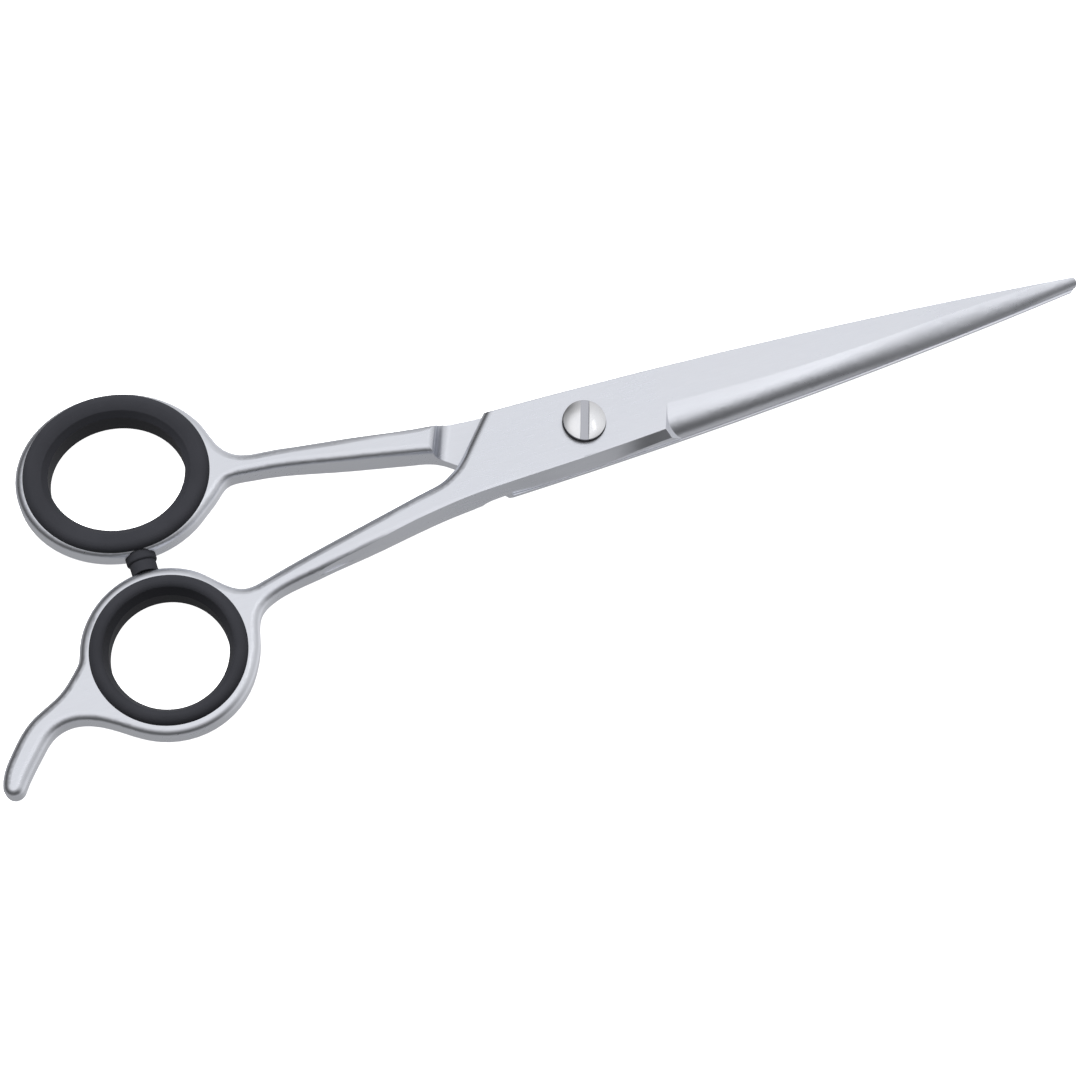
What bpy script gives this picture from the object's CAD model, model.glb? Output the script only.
"""Looks of the hair cutting shears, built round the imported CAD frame. All lengths are in metres."""

import bmesh
import bpy
from mathutils import Matrix, Vector

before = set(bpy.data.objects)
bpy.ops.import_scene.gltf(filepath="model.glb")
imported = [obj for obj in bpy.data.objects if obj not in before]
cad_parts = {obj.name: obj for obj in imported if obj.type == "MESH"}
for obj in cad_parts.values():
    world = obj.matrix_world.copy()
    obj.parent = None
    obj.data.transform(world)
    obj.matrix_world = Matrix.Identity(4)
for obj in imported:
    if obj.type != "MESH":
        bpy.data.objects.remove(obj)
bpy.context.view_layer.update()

# The camera: where it stands, and which way the right and the foot of its picture point.
CAMERA_PLACE = Vector((-0.080545, -0.135382, 0.365437))
CAMERA_RIGHT = Vector((0.94198, -0.32879, 0.06766))
CAMERA_DOWN = Vector((-0.28651, -0.89253, -0.34829))
CAMERA_LENS_MM = 81.1
SENSOR_MM = 36.0

# Colours. The tints come in pairs, which a material mixes in patches.
STEEL_TINTS = ((0.825, 0.842, 0.890), (0.842, 0.856, 0.896))
STEEL_GRAIN = (0.74, 0.755, 0.80)
SCREW_TINTS = ((0.93, 0.935, 0.95), (0.97, 0.97, 0.975))
SLOT_FLOOR_GREY = (0.52, 0.525, 0.56)
SLOT_WALL_GREY = (0.06, 0.06, 0.07)
RUBBER_TINTS = ((0.0235, 0.0242, 0.0285), (0.0280, 0.0286, 0.0336))
RUBBER_DUST = (0.070, 0.070, 0.075)
BLACK_NYLON_TINTS = ((0.010, 0.010, 0.011), (0.020, 0.020, 0.022))
WHITE_NYLON_TINTS = ((0.70, 0.69, 0.64), (0.80, 0.79, 0.74))

SLOT_FLOOR = 0.0076            # height of the bottom of the screw's slot
THUMB_GRAIN_TURN = 0.08        # how far the thumb half's grain is turned from the finger half's
HAIRLINE_TURN = 0.25           # how far the hairlines are turned from the grain
STEEL_EDGE_RADIUS = 0.00012
SCREW_EDGE_RADIUS = 0.00010

STAGE_PAINT = 0.90             # how pale the floor and the backdrop are painted
FLOOR_RADIUS = 6.0
FLOOR_HEIGHT = -0.0002         # just under the shears
FLOOR_GLOW = 0.95
BACKDROP_RADIUS = 7.0
BACKDROP_GLOW = 1.0
KEY_PLACE = (-0.10, 0.50, 0.66)
KEY_AIM = (-0.02, 0.0, 0.0)
STRIP_PLACE = (0.34, 0.01, 0.76)
STRIP_AIM = (0.05, 0.0, 0.0)
STUDIO_TINT = (0.985, 0.992, 1.015)   # the studio's light is slightly cool
PALE_SIDE = (0.95, 0.30, 0.0)         # from the shears towards the pale wall on the right
PALE_SIDE_BLEND = 0.8                 # how squarely a ray must point there to see only that wall

# Studio walls: how high a ray points (-1 down, +1 up) and how bright it finds them.
# The walls all round have a dark band just above table height; the wall on the right stays pale.
WALL_LIGHT = (
    (-1.0, 0.38), (-0.70, 0.39), (-0.38, 0.42), (-0.22, 0.38), (-0.10, 0.17), (0.02, 0.09),
    (0.26, 0.085), (0.47, 0.16), (0.74, 0.46), (0.87, 0.82), (0.94, 0.90), (1.0, 0.90),
)
PALE_WALL_LIGHT = (
    (-1.0, 0.84), (-0.45, 0.80), (-0.1, 0.64), (0.2, 0.60),
    (0.55, 0.70), (0.78, 0.85), (0.88, 0.93), (1.0, 0.94),
)


# ---------------------------------------------------------------- node helpers

class Nodes:
    """Short names for adding shader nodes to one material and wiring them."""

    def __init__(self, material):
        material.use_nodes = True
        self.tree = material.node_tree
        self.shader = self.tree.nodes["Principled BSDF"]
        self.coords = self.tree.nodes.new("ShaderNodeTexCoord")

    def add(self, kind, **settings):
        node = self.tree.nodes.new(kind)
        for name, value in settings.items():
            setattr(node, name, value)
        return node

    def link(self, source, target):
        self.tree.links.new(source, target)

    def stretched(self, scale, turn=(0.0, 0.0, 0.0)):
        """Object coordinates, scaled differently along each axis."""
        mapping = self.add("ShaderNodeMapping")
        mapping.inputs["Scale"].default_value = scale
        mapping.inputs["Rotation"].default_value = turn
        self.link(self.coords.outputs["Object"], mapping.inputs["Vector"])
        return mapping.outputs["Vector"]

    def noise(self, scale, vector=None, detail=3.0, roughness=0.5):
        noise = self.add("ShaderNodeTexNoise")
        noise.inputs["Scale"].default_value = scale
        noise.inputs["Detail"].default_value = detail
        noise.inputs["Roughness"].default_value = roughness
        self.link(vector or self.coords.outputs["Object"], noise.inputs["Vector"])
        return noise.outputs["Fac"]

    def remap(self, value, low, high, new_low, new_high):
        node = self.add("ShaderNodeMapRange")
        node.inputs["From Min"].default_value = low
        node.inputs["From Max"].default_value = high
        node.inputs["To Min"].default_value = new_low
        node.inputs["To Max"].default_value = new_high
        self.link(value, node.inputs["Value"])
        return node.outputs["Result"]

    def math(self, operation, first, second):
        node = self.add("ShaderNodeMath", operation=operation)
        for socket, value in zip(node.inputs, (first, second)):
            if isinstance(value, (int, float)):
                socket.default_value = value
            else:
                self.link(value, socket)
        return node.outputs["Value"]

    def part_of(self, coordinate, axis):
        """One component of the object's coordinates or of its surface normal."""
        split = self.add("ShaderNodeSeparateXYZ")
        self.link(self.coords.outputs[coordinate], split.inputs["Vector"])
        return split.outputs[axis]

    def mix_colour(self, factor, first, second):
        node = self.add("ShaderNodeMix", data_type="RGBA")
        self.link(factor, node.inputs["Factor"])
        for socket, colour in ((node.inputs["A"], first), (node.inputs["B"], second)):
            if isinstance(colour, tuple):
                socket.default_value = (*colour, 1.0)
            else:
                self.link(colour, socket)
        return node.outputs["Result"]

    def bump(self, height, distance, strength=1.0, normal=None):
        node = self.add("ShaderNodeBump")
        node.inputs["Distance"].default_value = distance
        node.inputs["Strength"].default_value = strength
        self.link(height, node.inputs["Height"])
        if normal is not None:
            self.link(normal, node.inputs["Normal"])
        return node.outputs["Normal"]

    def soft_edges(self, radius):
        node = self.add("ShaderNodeBevel", samples=4)
        node.inputs["Radius"].default_value = radius
        return node.outputs["Normal"]


def set_sockets(shader, **values):
    for name, value in values.items():
        shader.inputs[name.replace("_", " ")].default_value = value


# ---------------------------------------------------------------- materials

def satin_steel(name, grain_turn):
    """Polished steel: a fine satin grain, faint stains, hairlines and soft bright edges."""
    material = bpy.data.materials.new(name)
    n = Nodes(material)
    grain_space = n.stretched((0.05, 1.0, 0.5), (0.0, 0.0, grain_turn))
    grain = n.noise(7000.0, grain_space, detail=2.0, roughness=0.6)
    cloud = n.noise(60.0, detail=3.0, roughness=0.55)
    hairline_space = n.stretched((0.02, 1.0, 0.4), (0.0, 0.0, grain_turn + HAIRLINE_TURN))
    hairlines = n.remap(n.noise(1600.0, hairline_space, detail=1.0), 0.62, 0.78, 0.0, 1.0)
    tint = n.mix_colour(n.remap(cloud, 0.35, 0.65, 0.0, 1.0), *STEEL_TINTS)
    colour = n.mix_colour(n.remap(grain, 0.3, 0.7, 0.0, 0.20), tint, STEEL_GRAIN)
    n.link(colour, n.shader.inputs["Base Color"])
    satin = n.math("ADD", n.remap(cloud, 0.3, 0.7, 0.275, 0.300), n.remap(grain, 0.3, 0.7, -0.015, 0.02))
    n.link(n.math("ADD", satin, n.math("MULTIPLY", hairlines, 0.02)), n.shader.inputs["Roughness"])
    edges = n.soft_edges(STEEL_EDGE_RADIUS)
    n.link(n.bump(grain, 0.00000015, normal=edges), n.shader.inputs["Normal"])
    set_sockets(n.shader, Metallic=1.0)
    return material


def bright_screw(name):
    """Turned and polished screw: turning marks, small driver scuffs, and a slot with dark walls."""
    material = bpy.data.materials.new(name)
    n = Nodes(material)
    rings = n.add("ShaderNodeTexWave", wave_type="RINGS", rings_direction="Z", wave_profile="SIN")
    rings.inputs["Scale"].default_value = 2600.0
    rings.inputs["Distortion"].default_value = 0.6
    n.link(n.coords.outputs["Object"], rings.inputs["Vector"])
    scuffs = n.remap(n.noise(2200.0, detail=3.0), 0.60, 0.72, 0.0, 1.0)
    stain = n.remap(n.noise(400.0), 0.35, 0.65, 0.0, 1.0)
    tint = n.mix_colour(stain, *SCREW_TINTS)
    on_dome = n.remap(n.part_of("Object", "Z"), SLOT_FLOOR + 0.00001, SLOT_FLOOR + 0.00005, 0.0, 1.0)
    faces_up = n.remap(n.part_of("Normal", "Z"), 0.15, 0.5, 0.0, 1.0)
    level = n.mix_colour(on_dome, SLOT_FLOOR_GREY, tint)
    n.link(n.mix_colour(faces_up, SLOT_WALL_GREY, level), n.shader.inputs["Base Color"])
    n.link(n.remap(scuffs, 0.0, 1.0, 0.15, 0.24), n.shader.inputs["Roughness"])
    edges = n.soft_edges(SCREW_EDGE_RADIUS)
    turned = n.bump(rings.outputs["Fac"], 0.0000008, normal=edges)
    n.link(n.bump(scuffs, 0.000001, normal=turned), n.shader.inputs["Normal"])
    set_sockets(n.shader, Metallic=1.0)
    return material


def moulded_rubber(name):
    """Soft black rubber: fine mould grain, slightly polished patches and specks of dust."""
    material = bpy.data.materials.new(name)
    n = Nodes(material)
    skin = n.noise(5200.0, detail=4.0, roughness=0.6)
    patches = n.noise(130.0, detail=3.0, roughness=0.5)
    dust = n.remap(n.noise(7000.0, detail=1.0), 0.74, 0.80, 0.0, 1.0)
    polish = n.remap(patches, 0.35, 0.65, 0.0, 1.0)
    rubber = n.mix_colour(polish, *RUBBER_TINTS)
    dusted = n.mix_colour(n.math("MULTIPLY", dust, 0.5), rubber, RUBBER_DUST)
    n.link(dusted, n.shader.inputs["Base Color"])
    base = n.remap(patches, 0.3, 0.7, 0.56, 0.64)
    n.link(n.math("ADD", base, n.remap(skin, 0.3, 0.7, -0.03, 0.05)), n.shader.inputs["Roughness"])
    n.link(n.bump(skin, 0.000006, 0.6), n.shader.inputs["Normal"])
    set_sockets(n.shader, IOR=1.5, Specular_IOR_Level=0.12)
    return material


def nylon(name, tints):
    """Cut nylon: faint tool marks and a waxy surface."""
    material = bpy.data.materials.new(name)
    n = Nodes(material)
    marks = n.noise(3000.0, n.stretched((1.0, 0.2, 1.0)), detail=3.0)
    n.link(n.mix_colour(n.remap(marks, 0.3, 0.7, 0.0, 1.0), *tints), n.shader.inputs["Base Color"])
    n.link(n.remap(marks, 0.3, 0.7, 0.38, 0.55), n.shader.inputs["Roughness"])
    n.link(n.bump(marks, 0.000004), n.shader.inputs["Normal"])
    return material


def dress(node, material):
    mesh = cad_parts[node].data
    mesh.materials.clear()
    mesh.materials.append(material)


# ---------------------------------------------------------------- studio

def pale_paint(name, glow):
    """Matt, nearly white paint with a faint mottle, lit a little from within."""
    material = bpy.data.materials.new(name)
    n = Nodes(material)
    mottle = n.remap(n.noise(3.0), 0.3, 0.7, STAGE_PAINT - 0.01, STAGE_PAINT)
    grey = n.add("ShaderNodeCombineColor")
    for socket in ("Red", "Green", "Blue"):
        n.link(mottle, grey.inputs[socket])
    n.link(grey.outputs["Color"], n.shader.inputs["Base Color"])
    set_sockets(n.shader, Roughness=0.9, Emission_Strength=glow, Emission_Color=(1.0, 1.0, 1.0, 1.0))
    return material


def staged(name, material, make_shape, **measures):
    """A mesh from one of bmesh's ready shapes, marked as part of the studio."""
    mesh = bpy.data.meshes.new(name)
    mesh.materials.append(material)
    shape = bmesh.new()
    make_shape(shape, **measures)
    shape.to_mesh(mesh)
    shape.free()
    piece = bpy.data.objects.new(name, mesh)
    bpy.context.scene.collection.objects.link(piece)
    return piece


def studio_floor():
    """The white table: seen by the camera, but left out of the metal's reflections."""
    floor = staged("floor", pale_paint("pale_floor", FLOOR_GLOW), bmesh.ops.create_circle,
                   cap_ends=True, segments=96, radius=FLOOR_RADIUS)
    floor.location.z = FLOOR_HEIGHT
    floor.visible_glossy = False
    floor.visible_diffuse = False


def studio_backdrop():
    """A white dome behind everything; only the camera sees it."""
    dome = staged("backdrop", pale_paint("pale_wall", BACKDROP_GLOW), bmesh.ops.create_uvsphere,
                  u_segments=64, v_segments=32, radius=BACKDROP_RADIUS)
    dome.visible_glossy = False
    dome.visible_diffuse = False
    dome.visible_shadow = False


def brightness_ramp(tree, height, table):
    """A colour ramp over height, from -1 to 1, through the table's brightnesses."""
    ramp = tree.nodes.new("ShaderNodeValToRGB")
    elements = ramp.color_ramp.elements
    while len(elements) < len(table):
        elements.new(0.5)
    for element, (level, light) in zip(elements, table):
        element.position = (level + 1) / 2
        element.color = (*(light * tint for tint in STUDIO_TINT), 1.0)
    tree.links.new(height, ramp.inputs["Fac"])
    return ramp.outputs["Color"]


def studio_world():
    """Soft light from all round; each wall's brightness depends on how high a ray meets it."""
    world = bpy.data.worlds.new("studio")
    bpy.context.scene.world = world
    world.use_nodes = True
    tree = world.node_tree
    coords = tree.nodes.new("ShaderNodeTexCoord")
    split = tree.nodes.new("ShaderNodeSeparateXYZ")
    height = tree.nodes.new("ShaderNodeMapRange")
    height.inputs["From Min"].default_value = -1.0
    towards_pale = tree.nodes.new("ShaderNodeVectorMath")
    towards_pale.operation = "DOT_PRODUCT"
    towards_pale.inputs[1].default_value = PALE_SIDE
    share = tree.nodes.new("ShaderNodeMapRange")
    share.interpolation_type = "SMOOTHSTEP"
    share.inputs["From Max"].default_value = PALE_SIDE_BLEND
    walls = tree.nodes.new("ShaderNodeMix")
    walls.data_type = "RGBA"
    tree.links.new(coords.outputs["Generated"], split.inputs["Vector"])
    tree.links.new(split.outputs["Z"], height.inputs["Value"])
    tree.links.new(coords.outputs["Generated"], towards_pale.inputs[0])
    tree.links.new(towards_pale.outputs["Value"], share.inputs["Value"])
    tree.links.new(share.outputs["Result"], walls.inputs["Factor"])
    colours = [socket for socket in walls.inputs if socket.type == "RGBA"]
    for socket, table in zip(colours, (WALL_LIGHT, PALE_WALL_LIGHT)):
        tree.links.new(brightness_ramp(tree, height.outputs["Result"], table), socket)
    mixed = [socket for socket in walls.outputs if socket.type == "RGBA"][0]
    tree.links.new(mixed, tree.nodes["Background"].inputs["Color"])


def soft_box(name, place, aim, width, depth, watts):
    light = bpy.data.lights.new(name, "AREA")
    light.shape = "RECTANGLE"
    light.size = width
    light.size_y = depth
    light.energy = watts
    lamp = bpy.data.objects.new(name, light)
    lamp.location = place
    lamp.rotation_mode = "QUATERNION"
    lamp.rotation_quaternion = (Vector(aim) - Vector(place)).to_track_quat("-Z", "Y")
    bpy.context.scene.collection.objects.link(lamp)
    return lamp


def photo_camera():
    data = bpy.data.cameras.new("camera")
    data.lens = CAMERA_LENS_MM
    data.sensor_width = SENSOR_MM
    data.clip_start = 0.01
    camera = bpy.data.objects.new("camera", data)
    up = -CAMERA_DOWN.normalized()
    right = (CAMERA_RIGHT - up * CAMERA_RIGHT.dot(up)).normalized()
    back = right.cross(up)
    turn = Matrix((right, up, back)).transposed().to_4x4()
    camera.matrix_world = Matrix.Translation(CAMERA_PLACE) @ turn
    bpy.context.scene.collection.objects.link(camera)
    bpy.context.scene.camera = camera


def studio_lights():
    """A broad soft key for the rubber, and a narrow strip that draws the line along the blade's ridge."""
    key = soft_box("key", KEY_PLACE, KEY_AIM, width=0.5, depth=0.4, watts=10.5)
    key.visible_glossy = False
    soft_box("blade_strip", STRIP_PLACE, STRIP_AIM, width=0.30, depth=0.035, watts=0.045)


# ---------------------------------------------------------------- the scene

rubber = moulded_rubber("black_rubber")
dress("finger_blade", satin_steel("satin_steel_finger", 0.0))
dress("thumb_blade", satin_steel("satin_steel_thumb", THUMB_GRAIN_TURN))
dress("pivot_screw", bright_screw("bright_screw"))
dress("head_washer", nylon("black_nylon", BLACK_NYLON_TINTS))
dress("thread_lock_insert", nylon("white_nylon", WHITE_NYLON_TINTS))
for node in ("finger_ring_insert", "thumb_ring_insert", "bumper"):
    dress(node, rubber)

studio_floor()
studio_backdrop()
studio_world()
studio_lights()
photo_camera()
bpy.context.scene.view_settings.view_transform = "Standard"
